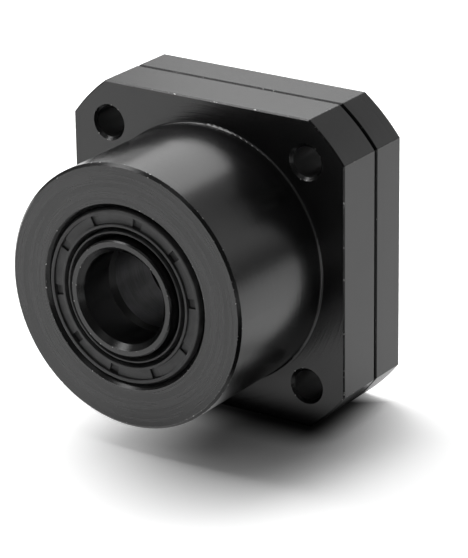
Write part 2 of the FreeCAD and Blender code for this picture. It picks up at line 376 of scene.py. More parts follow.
def object_millimetres(tree):
    """Object coordinates in millimetres."""
    place = put(tree, "ShaderNodeTexCoord").outputs["Object"]
    scaled = put(tree, "ShaderNodeVectorMath", {"Vector": place, "Scale": 1 / MM}, operation="SCALE")
    return scaled.outputs["Vector"]


def start_finish(name, ior, roughness=0.5):
    """A new material, its tree, its shader, and the places that its marks go by."""
    print("finish:", name)
    material = bpy.data.materials.new(name)
    material.use_nodes = True
    tree = material.node_tree
    shader = tree.nodes["Principled BSDF"]
    fill(tree, shader, IOR=ior, Roughness=roughness)
    return material, tree, shader, object_millimetres(tree)


def bump(tree, height, depth_mm):
    """A Bump node for a height from 0 to 1 that stands for a depth in millimetres."""
    made = put(tree, "ShaderNodeBump", {"Height": height, "Distance": depth_mm * MM, "Strength": 1.0})
    return made.outputs["Normal"]


def grained(tree, shader, colour, grain, roughness, depth_mm):
    """Wire a colour into a shader, and a grain that shows in its roughness and its height."""
    polish = fade(tree, grain, *grain_range, *roughness)
    fill(tree, shader, Base_Color=colour, Roughness=polish, Normal=bump(tree, grain, depth_mm))


def nearest_edge(tree, position, edges):
    """The distance to the nearest of several turned edges, given as (radius, place)."""
    found = []
    for edge_radius, edge_place in edges:
        made = use_group(tree, turned_edge, position, Radius=edge_radius, Place=edge_place)
        found.append(made["Distance"])
    return combine(tree, "MINIMUM", *found)


# %% Find the bevels
bevel_starts = (0.56, 0.64)
bevel_ends = (0.86, 0.78)


def on_bevel(tree):
    """1 on the edges cut at 45 degrees, whose normals lean 0.71 along the bore, and 0 elsewhere."""
    facing = put(tree, "ShaderNodeTexCoord").outputs["Normal"]
    lean = calc(tree, "ABSOLUTE", along_bore(tree, facing))
    return times(tree, fade(tree, lean, *bevel_starts), fade(tree, lean, *bevel_ends))


# %% [markdown]
# ## Black oxide steel
# Black oxide is a thin, dark conversion layer with a film of oil on it. It hardly scatters light and
# mirrors a little at every angle, so it looks like a dark glossy plastic more than like bare metal: a
# nearly black base under a clear reflection that grows towards grazing angles. The milled sides mirror a
# little less, and the bevels carry painted shade: they mirror hardly at all, so they show as dark lines in
# any light. Some Metallic over the dark base does that, because a dark metal has no clear reflection.
# Turned end faces show paler rings. Where the layer is rubbed through, bare steel shows, and there the
# surface turns metallic and pale.

# %% Black oxide
oxide_ior = 1.6
oxide_dark = (0.0028, 0.0028, 0.0029, 1)
oxide_light = (0.009, 0.009, 0.0093, 1)
ring_tone = (0.024, 0.024, 0.0245, 1)
bevel_painted_shade_tone = (0.007, 0.007, 0.0072, 1)
rubbed_steel = (0.55, 0.55, 0.54, 1)
ring_range = (0.4, 0.58)
rub_share = 0.07
dust_share = 0.4
side_dulling = 0.22
oxide_roughness = (0.21, 0.265)
drilled_roughness = 0.3
rubbed_roughness = 0.15
oxide_mark_depth = 0.012


def finish_black_oxide(
    tree, shader, position, edge_distance, wear, on_side=0.0, drilled=0.0, ringed=0.0, bevelled=0.0
):
    """Wire the oxide's colour, gloss, marks and wear into a shader."""
    marks = use_group(tree, turning_marks, position, Pitch=0.22, Length=1.4)
    lines = use_group(tree, milling_marks, position, Pitch=0.5)["Lines"]
    cloud = use_group(tree, clouds, position, Size=7.0)
    worn = use_group(tree, edge_wear, position, Distance=edge_distance, Width=0.22, Amount=wear)
    dust = use_group(tree, dust_specks, position, Spacing=7.0, Size=0.11, Share=0.2)["Specks"]

    turned_tone = mixture(tree, (marks["Fine"], 0.6), (marks["Broad"], 0.4))
    tone = mixture(tree, (turned_tone, 0.6), (cloud["Tone"], 0.4))
    oxide = blend(tree, fade(tree, tone, *tone_range), oxide_dark, oxide_light)
    rings = times(tree, fade(tree, marks["Broad"], *ring_range), ringed)
    oxide = blend(tree, rings, oxide, ring_tone)
    # Painted shade: the bevels turn nearly black and metallic, so they mirror almost nothing
    oxide = blend(tree, bevelled, oxide, bevel_painted_shade_tone)
    rub = times(tree, worn["Rub"], rub_share)
    bare = combine(tree, "MAXIMUM", rub, worn["Nicks"], times(tree, dust, dust_share))
    dulled = times(tree, on_side, side_dulling)
    polish = fade(tree, cloud["Grain"], *grain_range, *oxide_roughness)
    turned_height = mixture(tree, (marks["Fine"], 1.0), (marks["Broad"], 1.6), (cloud["Grain"], 0.5))
    height = blend(tree, on_side, turned_height, times(tree, lines, 0.5), kind="FLOAT")
    fill(
        tree,
        shader,
        Base_Color=blend(tree, bare, oxide, rubbed_steel),
        Metallic=combine(tree, "MAXIMUM", bevelled, dulled, rub, worn["Nicks"]),
        Roughness=mixture(tree, (polish, 1.0), (drilled, drilled_roughness), (bare, rubbed_roughness)),
        Normal=bump(tree, height, oxide_mark_depth),
    )


# %% [markdown]
# ## Housing, lid and collars
# These three share the black oxide, and each gets its own edges: the nose and the seal's pocket
# on the housing, the pocket on the lid, and both ends of each collar. The four mounting holes
# sit alike in the four corners, so folding the part twice onto one corner lets one distance
# serve all of them. A drilled wall is rougher. The fillet where the barrel meets the flange also
# leans at 45 degrees, so it is taken out of the bevels.

# %% Mounting holes
# Within a skin, a mark goes from nothing at the first distance off a surface to all at the second
drilled_skin = (0.12, 0.04)


def off_hole(tree, position):
    """How far a position is from the axis of the nearest mounting hole."""
    folded = calc_vector(tree, "ABSOLUTE", flattened(tree, position))
    return length(tree, calc_vector(tree, "SUBTRACT", folded, (hole_spacing, 0.0, hole_spacing)))


def hole_edge(tree, position, edge_radius, edge_place):
    """The distance to the mouth of the nearest mounting hole."""
    return to_circle(tree, off_hole(tree, position), edge_radius, along_bore(tree, position), edge_place)


def inside_hole(tree, position, wall_radius):
    """1 on the drilled wall of a mounting hole, and 0 outside it."""
    clear, close = drilled_skin
    return fade(tree, off_hole(tree, position), wall_radius + clear, wall_radius + close)


# %% Housing and lid
straight_edge_share = 2.2
face_skin = (0.05, 0.02)
root_fillet = (barrel_radius + 0.3, -0.2)
fillet_reach = (0.5, 0.6)


def plate_finish(
    name, front, back, turned_edges, hole_mouth, wall_radius, ringed_face, ring_share, bevel_share, wear
):
    """Black oxide for a piece with a square plate. Its straight edges wear in a narrower line."""
    material, tree, shader, position = start_finish(name, ior=oxide_ior)
    plate = use_group(tree, plate_edge, position, Front=front, Back=back)
    edge_distance = combine(
        tree,
        "MINIMUM",
        times(tree, plate["Distance"], straight_edge_share),
        nearest_edge(tree, position, turned_edges),
        hole_edge(tree, position, *hole_mouth),
    )
    off_face = calc(tree, "ABSOLUTE", minus(tree, along_bore(tree, position), ringed_face))
    off_fillet = nearest_edge(tree, position, [root_fillet])
    # How much painted shade the bevels take, none on the root fillet
    bevel_amount = fade(tree, off_fillet, *fillet_reach, 0.0, bevel_share)
    finish_black_oxide(
        tree,
        shader,
        position,
        edge_distance,
        wear,
        on_side=plate["On Side"],
        drilled=inside_hole(tree, position, wall_radius),
        ringed=fade(tree, off_face, *face_skin, 0.0, ring_share),
        bevelled=times(tree, on_bevel(tree), bevel_amount),
    )
    return material


housing_oxide = plate_finish(
    "black_oxide_housing",
    front=0.0,
    back=flange_thickness,
    turned_edges=[
        (barrel_radius - nose_chamfer, nose_face),
        (barrel_radius, nose_face + nose_chamfer),
        (pocket_radius + pocket_chamfer, nose_face),
    ],
    hole_mouth=(hole_radius + hole_chamfer, 0.0),
    wall_radius=hole_radius,
    ringed_face=nose_face,
    ring_share=1.0,
    bevel_share=0.5,
    wear=0.7,
)
lid_oxide = plate_finish(
    "black_oxide_lid",
    front=lid_front,
    back=lid_back,
    turned_edges=[(pocket_radius + pocket_chamfer, lid_back)],
    hole_mouth=(well_radius + edge_chamfer, lid_back),
    wall_radius=well_radius,
    ringed_face=lid_back,
    ring_share=0.65,
    bevel_share=0.85,
    wear=0.45,
)

# %% Collars
collar_bevel_share = 0.5
collar_oxide, tree, shader, position = start_finish("black_oxide_collar", ior=oxide_ior)
collar_edges = []
for end_place in (collar_front, collar_back):
    collar_edges.append((collar_radius - edge_chamfer, end_place))
    collar_edges.append((collar_bore + collar_mouth, end_place))
edge_distance = nearest_edge(tree, position, collar_edges)
bevelled = times(tree, on_bevel(tree), collar_bevel_share)
finish_black_oxide(tree, shader, position, edge_distance, wear=0.6, ringed=0.5, bevelled=bevelled)

# %% [markdown]
# ## Bearing steel, balls and seal cases
# The bearing rings are ground bare steel: metallic, smooth, with grinding lines round the axis,
# and darker where their edges are turned but not ground. The balls are polished further, and the
# seal's pressed case and its spring are plain steel. They differ only in tone, polish and marks,
# so one function makes all four. Most of this is hidden, but the first inner ring shows.

# %% Metal finishes
steel_ior = 2.5
grain_roughness = 0.08


def bare_steel(name, dark, light, roughness, pitch, depth_mm, unground=None):
    """A metallic finish with turning or grinding marks."""
    material, tree, shader, position = start_finish(name, ior=steel_ior)
    marks = use_group(tree, turning_marks, position, Pitch=pitch, Length=2.0)
    cloud = use_group(tree, clouds, position, Size=4.0)
    tone = mixture(tree, (marks["Fine"], 0.5), (cloud["Tone"], 0.5))
    steel = blend(tree, fade(tree, tone, *tone_range), dark, light)
    if unground:
        steel = blend(tree, on_bevel(tree), steel, unground)
    polish = fade(tree, cloud["Grain"], *grain_range, roughness, roughness + grain_roughness)
    ground = bump(tree, marks["Fine"], depth_mm)
    fill(tree, shader, Base_Color=steel, Metallic=1.0, Roughness=polish, Normal=ground)
    return material


ring_steel = bare_steel(
    "bearing_steel_ground",
    dark=(0.15, 0.15, 0.153, 1),
    light=(0.24, 0.24, 0.245, 1),
    roughness=0.3,
    pitch=0.12,
    depth_mm=0.001,
    unground=(0.04, 0.04, 0.04, 1),
)
ball_steel = bare_steel(
    "ball_steel_polished",
    dark=(0.68, 0.69, 0.7, 1),
    light=(0.74, 0.75, 0.76, 1),
    roughness=0.05,
    pitch=0.4,
    depth_mm=0.0001,
)
case_steel = bare_steel(
    "seal_case_steel_pressed",
    dark=(0.24, 0.24, 0.25, 1),
    light=(0.34, 0.34, 0.35, 1),
    roughness=0.38,
    pitch=0.5,
    depth_mm=0.003,
)
spring_wire = bare_steel(
    "garter_spring_wire",
    dark=(0.36, 0.36, 0.37, 1),
    light=(0.5, 0.5, 0.5, 1),
    roughness=0.28,
    pitch=0.3,
    depth_mm=0.002,
)

# %% [markdown]
# ## The garter spring's turns
# A garter spring is a long coil bent into a ring. Its turns are only a fraction of a millimetre
# apart and lie hidden behind the lip, so the finish draws them instead of geometry: a wave that
# runs with the angle round the axis, with a whole number of turns in the full circle.

# %% Spring turns
spring_turns = 260
turn_depth = 0.1
tree = spring_wire.node_tree
shader = tree.nodes["Principled BSDF"]
place = split(tree, object_millimetres(tree))
angle = calc(tree, "ARCTAN2", place["Z"], place["X"])
turn_wave = calc(tree, "SINE", times(tree, angle, float(spring_turns)))
height = calc(tree, "MULTIPLY_ADD", turn_wave, 0.5, 0.5)
fill(tree, shader, Normal=bump(tree, height, turn_depth))
print("spring turns:", spring_turns)

# %% [markdown]
# ## Nylon cages
# The cages are moulded in nylon filled with glass fibre, uneven in its cream colour and satin in
# its grain. Fibres could be drawn one by one, but the oxide's clouds, made smaller, look alike.

# %% Nylon cage
cage_nylon, tree, shader, position = start_finish("cage_nylon_moulded", ior=1.53)
nylon_dark = (0.56, 0.51, 0.41, 1)
nylon_light = (0.68, 0.64, 0.54, 1)
cloud = use_group(tree, clouds, position, Size=1.8)
nylon = blend(tree, fade(tree, cloud["Tone"], *cloud_range), nylon_dark, nylon_light)
grained(tree, shader, nylon, cloud["Grain"], roughness=(0.42, 0.6), depth_mm=0.006)

# %% [markdown]
# ## Seal rubber
# Nitrile rubber from a mould is satin, and a little lighter than the oxide where dust sits in
# its grain. The clouds give its fine, even grain, both as bump and as roughness, the turning
# marks give the faint rings of its mould, and the specks are the dust.

# %% Seal rubber finish
seal_rubber, tree, shader, position = start_finish("seal_rubber_moulded", ior=1.52)
rubber_dark = (0.012, 0.012, 0.0125, 1)
rubber_light = (0.03, 0.03, 0.0305, 1)
dust_grey = (0.5, 0.5, 0.48, 1)
cloud = use_group(tree, clouds, position, Size=2.5)
marks = use_group(tree, turning_marks, position, Pitch=0.35, Length=3.0)
dust = use_group(tree, dust_specks, position, Spacing=2.6, Size=0.11, Share=0.16)["Specks"]
tone = mixture(tree, (cloud["Tone"], 0.6), (marks["Fine"], 0.4))
rubber = blend(tree, fade(tree, tone, *tone_range), rubber_dark, rubber_light)
rubber = blend(tree, dust, rubber, dust_grey)
grained(tree, shader, rubber, cloud["Grain"], roughness=(0.34, 0.52), depth_mm=0.004)

# %% [markdown]
# ## Finishes on the CAD pieces
# Most CAD pieces already have their right shape, chamfers included. Modelling them again would
# only risk a misfit, so they keep their meshes and only change their finish.

# %% Put the finishes on
finish_by_node = {
    "housing_barrel": housing_oxide,
    "housing_flange": housing_oxide,
    "retaining_lid": lid_oxide,
}
for end in ("front", "rear"):
    finish_by_node[end + "_collar"] = collar_oxide
    finish_by_node[end + "_inner_ring"] = ring_steel
    finish_by_node[end + "_outer_ring"] = ring_steel
    finish_by_node[end + "_cage"] = cage_nylon
    finish_by_node[end + "_seal_case"] = case_steel
    finish_by_node[end + "_seal_spring"] = spring_wire
for name in nodes:
    if "_ball_" in name:
        finish_by_node[name] = ball_steel
for name, material in finish_by_node.items():
    for slot_on_piece in nodes[name].material_slots:
        slot_on_piece.material = material
print("CAD pieces with a new finish:", len(finish_by_node))

# %% [markdown]
# ## Oil seals
# The seal's face is the finest moulding on the part: an outer rim, a recessed ring of pads with
# ten notches between them, an inner rim, and a groove that sets off the dust lip. All of it is
# round except the notches. So its section is drawn once and spun round the axis, and the notches
# are pressed in afterwards by extruding the floor of the recess at ten places. A small bevel then
# rounds every edge, because a rubber edge is never sharp.

# %% Seal section
seal_width = 7.0
rim_radius = 18.5
rim_taper = 1.1
pad_outer = 17.75
pad_inner = 15.65
recess_depth = 0.6
notch_floor = 1.15
inner_rim = 15.05
groove_bottom = (14.475, 2.0)
dust_lip_outer = 14.05
dust_lip_inner = 13.7
lip_touch = 12.55
lip_front = 2.4
lip_valley = (13.35, 3.6)
lip_back = 5.2
lip_heel = 13.3
heel_depth = 6.55
spring_seat = 14.8
skirt_inner = 16.6
web_back = 4.0
seal_section = [
    (pocket_radius, rim_taper),
    (rim_radius, 0.0),
    (pad_outer, 0.0),
    (pad_outer, recess_depth),
    (pad_inner, recess_depth),
    (pad_inner, 0.0),
    (inner_rim, 0.0),
    groove_bottom,
    (dust_lip_outer, 0.0),
    (dust_lip_inner, 0.0),
    (lip_touch, lip_front),
    lip_valley,
    (lip_touch, lip_back),
    (lip_heel, heel_depth),
    (spring_seat, heel_depth),
    (spring_seat, web_back),
    (skirt_inner, web_back),
    (skirt_inner, seal_width),
    (pocket_radius, seal_width),
]
case_sheet = 0.8
case_inner = 15.2
case_outer = 18.2
case_front = 2.4
case_back = 6.2
case_section = [
    (case_inner, case_front),
    (case_outer, case_front),
    (case_outer, case_back),
    (case_outer - case_sheet, case_back),
    (case_outer - case_sheet, case_front + case_sheet),
    (case_inner, case_front + case_sheet),
]
print("corners in the seal's section:", len(seal_section), "and in its case's:", len(case_section))


# %% Helpers for new pieces
def verts_in(parts):
    """The points among what an operator made."""
    return [part for part in parts if isinstance(part, bmesh.types.BMVert)]


def faces_in(parts):
    """The faces among what an operator made."""
    return [part for part in parts if isinstance(part, bmesh.types.BMFace)]


def move_faces_out(shape, faces):
    """Extrude faces and drop the old ones. Returns the new faces and their points."""
    made = bmesh.ops.extrude_face_region(shape, geom=faces)["geom"]
    bmesh.ops.delete(shape, geom=faces, context="FACES_ONLY")
    return faces_in(made), verts_in(made)


def add_shape(shape, other):
    """Move another bmesh into this one."""
    mesh = bpy.data.meshes.new("added shape")
    other.to_mesh(mesh)
    other.free()
    shape.from_mesh(mesh)
    bpy.data.meshes.remove(mesh)


def finished_piece(name, shape, material, sharp_degrees=40):
    """Turn a bmesh into an object with smooth shading, sharp only at real edges."""
    mesh = bpy.data.meshes.new(name)
    shape.to_mesh(mesh)
    shape.free()
    for face in mesh.polygons:
        face.use_smooth = True
    mesh.set_sharp_from_angle(angle=math.radians(sharp_degrees))
    mesh.materials.append(material)
    piece = bpy.data.objects.new(name, mesh)
    bpy.context.scene.collection.objects.link(piece)
    return piece


# %% Turn a section into a ring
def spin_section(shape, section, steps, turns=1, rise=0.0):
    """Spin a section of (radius, depth) corners into a ring, or wind it up by a rise a turn."""
    corners = [shape.verts.new((across * MM, depth * MM, 0.0)) for across, depth in section]
    outline = corners if rise else corners + corners[:1]
    edges = [shape.edges.new(ends) for ends in zip(outline, outline[1:])]
    bmesh.ops.spin(
        shape,
        geom=corners + edges,
        cent=(0.0, 0.0, 0.0),
        axis=(0.0, 1.0, 0.0),
        dvec=(0.0, rise / steps * MM, 0.0),
        angle=2 * math.pi * turns,
        steps=steps * turns,
        use_merge=not rise,
    )
    bmesh.ops.remove_doubles(shape, verts=shape.verts[:], dist=1e-6)
    bmesh.ops.recalc_face_normals(shape, faces=shape.faces[:])


# %% Build one seal
seal_steps = 360
notch_count = 10
notch_degrees = 7
first_notch_degrees = 6.4
floor_tolerance = 0.01
seal_bevel = 0.09
bevelled_from_degrees = 28


def oil_seal():
    """One seal with its outside face at y = 0 and its body towards +Y."""
    shape = bmesh.new()
    spin_section(shape, seal_section, seal_steps)
    pitch = 360 / notch_count
    pressed = []
    for face in shape.faces:
        middle = face.calc_center_median()
        across = math.hypot(middle.x, middle.z) / MM
        at_depth = abs(middle.y / MM - recess_depth) < floor_tolerance
        turn = math.degrees(math.atan2(middle.z, middle.x)) - first_notch_degrees
        off = abs((turn + pitch / 2) % pitch - pitch / 2)
        if at_depth and pad_inner < across < pad_outer and off < notch_degrees / 2:
            pressed.append(face)
    deeper = move_faces_out(shape, pressed)[1]
    bmesh.ops.translate(shape, verts=deeper, vec=(0.0, (notch_floor - recess_depth) * MM, 0.0))
    bmesh.ops.recalc_face_normals(shape, faces=shape.faces[:])
    sharp = math.radians(bevelled_from_degrees)
    bmesh.ops.bevel(
        shape,
        geom=[edge for edge in shape.edges if edge.calc_face_angle(0.0) > sharp],
        offset=seal_bevel * MM,
        offset_type="OFFSET",
        affect="EDGES",
        segments=2,
        profile=0.5,
        material=-1,
        clamp_overlap=True,
    )
    return shape


# %% Place both seals
case_steps = 120


def case_pocket():
    """The hollow in the rubber that the pressed case fills. Its faces look into the hollow."""
    pocket = bmesh.new()
    spin_section(pocket, case_section, case_steps)
    bmesh.ops.reverse_faces(pocket, faces=pocket.faces[:])
    return pocket


for end, face_place, half_turn in (("front", nose_face, 0.0), ("rear", lid_back, math.pi)):
    shape = oil_seal()
    add_shape(shape, case_pocket())
    facing = Matrix.Rotation(half_turn, 3, "Z")
    bmesh.ops.rotate(shape, verts=shape.verts[:], cent=(0, 0, 0), matrix=facing)
    bmesh.ops.translate(shape, verts=shape.verts[:], vec=(0.0, face_place * MM, 0.0))
    print(end, "seal faces:", len(shape.faces))
    seal = finished_piece(end + "_oil_seal", shape, seal_rubber)
    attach(seal, "housing_set")
    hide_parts(end + "_seal_rubber")

# %% [markdown]
# ## Lid screws
# Four socket head cap screws hold the lid. A real one has a knurled head, a hexagon socket and a
# thread. The head starts as a circle whose points move in and out for the knurl, then goes up by
# extruding. The socket is the top face, extruded and drawn in until its points lie on a hexagon,
# and then pushed down. The thread is one pitch of its section, spun with a rise at each step.
# Two flat cuts give it its ends.

# %% Screw sizes
screw_circle = 28.75
screw_seat = 17.6
screw_length = 12.0
head_height = 4.0
head_radius = 3.5
head_chamfer = 0.4
knurl_depth = 0.1
knurl_count = 32
points_per_knurl = 6
socket_width = 3.0
socket_depth = 2.0
socket_flare = 1.12
socket_chamfer = 0.12
thread_major = 1.98
thread_minor = 1.62
thread_pitch = 0.7
crest_share = 0.12
thread_tip = 1.35
thread_in_head = 0.3
thread_steps = 32
spare_turns = 4
print("lid screws: head", 2 * head_radius, "mm wide, shank", screw_length, "mm long")


# %% Screw head
def screw_head():
    """A knurled head on the seat plane y = 0, with its hexagon socket in the top."""
    shape = bmesh.new()
    knurl_points = points_per_knurl * knurl_count
    bmesh.ops.create_circle(shape, cap_ends=True, segments=knurl_points, radius=head_radius * MM)
    lying = Matrix.Rotation(-math.pi / 2, 3, "X")
    bmesh.ops.rotate(shape, verts=shape.verts[:], cent=(0, 0, 0), matrix=lying)
    lifted = bmesh.ops.extrude_face_region(shape, geom=shape.faces[:])["geom"]
    rise = (0.0, (head_height - head_chamfer) * MM, 0.0)
    bmesh.ops.translate(shape, verts=verts_in(lifted), vec=rise)
    for vert in shape.verts:
        turn = math.atan2(vert.co.z, vert.co.x)
        dip = knurl_depth * (0.5 - 0.5 * math.cos(turn * knurl_count))
        share = (head_radius - dip) / head_radius
        vert.co.x *= share
        vert.co.z *= share
    top, top_verts = move_faces_out(shape, faces_in(lifted))
    for vert in top_verts:
        out = Vector((vert.co.x, 0.0, vert.co.z)).normalized()
        vert.co = out * (head_radius - head_chamfer) * MM + Vector((0.0, head_height * MM, 0.0))
    for widen, sink in ((socket_flare, 0.0), (1.0, socket_chamfer), (1.0, socket_depth)):
        top, top_verts = move_faces_out(shape, top)
        for vert in top_verts:
            turn = math.atan2(vert.co.z, vert.co.x)
            corner = (turn + math.pi / 6) % (math.pi / 3) - math.pi / 6
            reach = widen * socket_width / 2 / math.cos(corner)
            vert.co = Vector((math.cos(turn) * reach, head_height - sink, math.sin(turn) * reach)) * MM
    bmesh.ops.recalc_face_normals(shape, faces=shape.faces[:])
    return shape


# %% Screw thread
def screw_thread():
    """A threaded shank from y = -screw_length up to a little inside the head."""
    shape = bmesh.new()
    turns = int(screw_length / thread_pitch) + spare_turns
    start = -screw_length - spare_turns / 2 * thread_pitch
    flat = crest_share * thread_pitch
    section = [
        (thread_minor, start),
        (thread_minor, start + flat),
        (thread_major, start + thread_pitch / 2 - flat / 2),
        (thread_major, start + thread_pitch / 2 + flat / 2),
        (thread_minor, start + thread_pitch - flat),
        (thread_minor, start + thread_pitch),
    ]
    spin_section(shape, section, thread_steps, turns, rise=thread_pitch)
    for level, above in ((-screw_length, False), (thread_in_head, True)):
        bmesh.ops.bisect_plane(
            shape,
            geom=shape.verts[:] + shape.edges[:] + shape.faces[:],
            dist=1e-7,
            plane_co=(0.0, level * MM, 0.0),
            plane_no=(0.0, 1.0, 0.0),
            clear_outer=above,
            clear_inner=not above,
        )
    for vert in shape.verts:
        reach = math.hypot(vert.co.x, vert.co.z)
        most = (thread_tip + (vert.co.y / MM + screw_length)) * MM
        if reach > most:
            vert.co.x *= most / reach
            vert.co.z *= most / reach
    rims = [edge for edge in shape.edges if edge.is_boundary]
    bmesh.ops.holes_fill(shape, edges=rims, sides=0)
    bmesh.ops.recalc_face_normals(shape, faces=shape.faces[:])
    return shape


# %% [markdown]
# ## The screws' finish
# The screws are blackened too, but duller, and a key soon rubs the rim of the head. The shared
# wear group needs only the distance to that rim. The four heads sit on the X and Z axes, two on
# each, so the nearer of two distances serves all of them.

# %% Screw finish
screw_dark = (0.01, 0.01, 0.0105, 1)
screw_light = (0.028, 0.028, 0.029, 1)
screw_bare = (0.6, 0.6, 0.6, 1)
screw_rub_share = 0.5
screw_oxide, tree, shader, position = start_finish("screw_steel_blackened", ior=oxide_ior)
cloud = use_group(tree, clouds, position, Size=1.2)
place = split(tree, position)
from_axis = []
for way, other_way in (("X", "Z"), ("Z", "X")):
    off_centre = minus(tree, calc(tree, "ABSOLUTE", place[way]), screw_circle)
    from_axis.append(span(tree, off_centre, place[other_way]))
rim_distance = to_circle(
    tree,
    combine(tree, "MINIMUM", *from_axis),
    head_radius - head_chamfer / 2,
    place["Y"],
    screw_seat + head_height - head_chamfer / 2,
)
worn = use_group(tree, edge_wear, position, Distance=rim_distance, Width=0.35, Amount=0.8)
screw_tone = blend(tree, fade(tree, cloud["Tone"], *cloud_range), screw_dark, screw_light)
bare = calc(tree, "MAXIMUM", times(tree, worn["Rub"], screw_rub_share), worn["Nicks"])
screw_tone = blend(tree, bare, screw_tone, screw_bare)
grained(tree, shader, screw_tone, cloud["Grain"], roughness=(0.3, 0.46), depth_mm=0.004)
fill(tree, shader, Metallic=bare)

# %% Place the screws
screws = bmesh.new()
add_shape(screws, screw_head())
add_shape(screws, screw_thread())
seat = (screw_circle * MM, screw_seat * MM, 0.0)
bmesh.ops.translate(screws, verts=screws.verts[:], vec=seat)
first_screw = screws.verts[:] + screws.edges[:] + screws.faces[:]
for quarter in (1, 2, 3):
    copied = bmesh.ops.duplicate(screws, geom=first_screw)["geom"]
    turn = Matrix.Rotation(quarter * math.pi / 2, 3, "Y")
    bmesh.ops.rotate(screws, verts=verts_in(copied), cent=(0, 0, 0), matrix=turn)
print("screw faces:", len(screws.faces))
lid_cap_screws = finished_piece("lid_cap_screws", screws, screw_oxide, sharp_degrees=35)
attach(lid_cap_screws, "housing_set")
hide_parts("lid_screws")

# %% [markdown]
# ## The camera
# The viewing angle comes from fitting the drawing's corners and circles to the photograph: the
# camera stands to the right of the nose and a little above it, 0.65 m away, with a long lens, so
# that the perspective stays mild. Pointing it at a target would lose its roll, so its three axes
# are written as a matrix, and the roll is a small turn about the line of sight.

# %% Camera
camera_azimuth = math.radians(34.25)
camera_elevation = math.radians(21.24)
camera_roll = math.radians(-0.8)
camera_distance = 654.7
camera_right_shift = 5.61
camera_up_shift = -5.41
focal_pixels = 3107.9
frame_height_pixels = 558
sensor_size = 36.0


def direction(azimuth, elevation):
    """A unit vector. The azimuth goes from the nose's side, -Y, round towards +X."""
    level = math.cos(elevation)
    return Vector((math.sin(azimuth) * level, -math.cos(azimuth) * level, math.sin(elevation)))


back = direction(camera_azimuth, camera_elevation)
level_right = Vector((math.cos(camera_azimuth), math.sin(camera_azimuth), 0.0))
level_up = back.cross(level_right)
right = level_right * math.cos(camera_roll) + level_up * math.sin(camera_roll)
up = level_up * math.cos(camera_roll) - level_right * math.sin(camera_roll)
lens = bpy.data.cameras.new("studio camera")
lens.sensor_width = sensor_size
lens.lens = focal_pixels * sensor_size / frame_height_pixels
camera = bpy.data.objects.new("studio camera", lens)
place = back * camera_distance + right * camera_right_shift + up * camera_up_shift
camera.matrix_world = Matrix.Translation(place * MM) @ Matrix((right, up, back)).transposed().to_4x4()
bpy.context.scene.collection.objects.link(camera)
bpy.context.scene.camera = camera
print("lens:", round(lens.lens, 1), "mm at", [round(c, 4) for c in camera.location])

# %% [markdown]
# ## The table
# The unit stands on the lower sides of its two plates, on plain white paper. Lamps bright enough to make
# the paper white would flood the part, so they stay low, and the paper glows a little for the camera
# instead. That glow is left out under the barrel and at the plates' foot, which paints a soft shadow
# there, and near the foot the paper's own colour is darkened as painted shade. Mirrored rays see a glow of
# their own: an even one, and a painted reflection that is strongest near the part and left out at the
# foot.

# %% Table shape and places
table_radius = 3.0
table_gap = 0.01
# The painted shadow: an oval round this middle, longer towards the front, where the camera glow is left
# out
painted_shadow_middle = (20.5, -9.5, 0.0)
painted_shadow_reach = (29.0, 46.0, 1.0)
painted_shadow_back_share = 1.25
foot_side_share = 1.3

table_shape = bmesh.new()
table_level = (floor_level - table_gap) * MM
bmesh.ops.create_circle(table_shape, cap_ends=True, segments=128, radius=table_radius)
bmesh.ops.translate(table_shape, verts=table_shape.verts[:], vec=(0.0, 0.0, table_level))

table_paper_with_painted_shadow, tree, shader, position = start_finish("table_paper_with_painted_shadow", ior=1.45, roughness=0.9)
from_painted_shadow = split(tree, calc_vector(tree, "SUBTRACT", position, painted_shadow_middle))
to_back = times(tree, from_painted_shadow["Y"], painted_shadow_back_share)
painted_shadow_y = calc(tree, "MAXIMUM", to_back, times(tree, from_painted_shadow["Y"], -1.0))
in_reaches = calc_vector(tree, "DIVIDE", join(tree, from_painted_shadow["X"], painted_shadow_y, 0.0), painted_shadow_reach)
out_of_painted_shadow = length(tree, in_reaches)

place = split(tree, position)
foot_middle = lid_back / 2
past_foot_x = minus(tree, calc(tree, "ABSOLUTE", place["X"]), side_half_width)
past_foot_x = times(tree, calc(tree, "MAXIMUM", past_foot_x, 0.0), foot_side_share)
past_foot_y = calc(tree, "ABSOLUTE", minus(tree, place["Y"], foot_middle))
past_foot_y = calc(tree, "MAXIMUM", minus(tree, past_foot_y, foot_middle), 0.0)
foot_gap = span(tree, past_foot_x, past_foot_y)
print("the plates' foot is", round(2 * side_half_width, 1), "by", lid_back, "mm")

# %% Table finish
paper_white = 0.92
foot_painted_shade_fade = (0.5, 12.5)
foot_shade = 0.03
behind_foot = (15.0, 22.0)
painted_shadow_fade = (0.26, 1.26)
camera_glow = 0.45
painted_reflection_fade = (0.35, 1.12)
reflection_glow_partly_painted = (0.64, 0.24)
painted_reflection_foot_shade_fade = (4.0, 15.0)

# Painted shade: the paper's own colour darkens to foot_shade at the plates' foot, but not behind it
foot_painted_shade_share = fade(tree, foot_gap, *foot_painted_shade_fade, foot_shade, 1.0)
foot_painted_shade_share = calc(tree, "MAXIMUM", foot_painted_shade_share, fade(tree, place["Y"], *behind_foot))
paper = times(tree, foot_painted_shade_share, paper_white)
ray = put(tree, "ShaderNodeLightPath").outputs
# The camera glow, left out inside the painted shadow and at the foot
painted_shadow_glow_share = times(tree, fade(tree, out_of_painted_shadow, *painted_shadow_fade), foot_painted_shade_share)
seen = times(tree, ray["Is Camera Ray"], painted_shadow_glow_share)
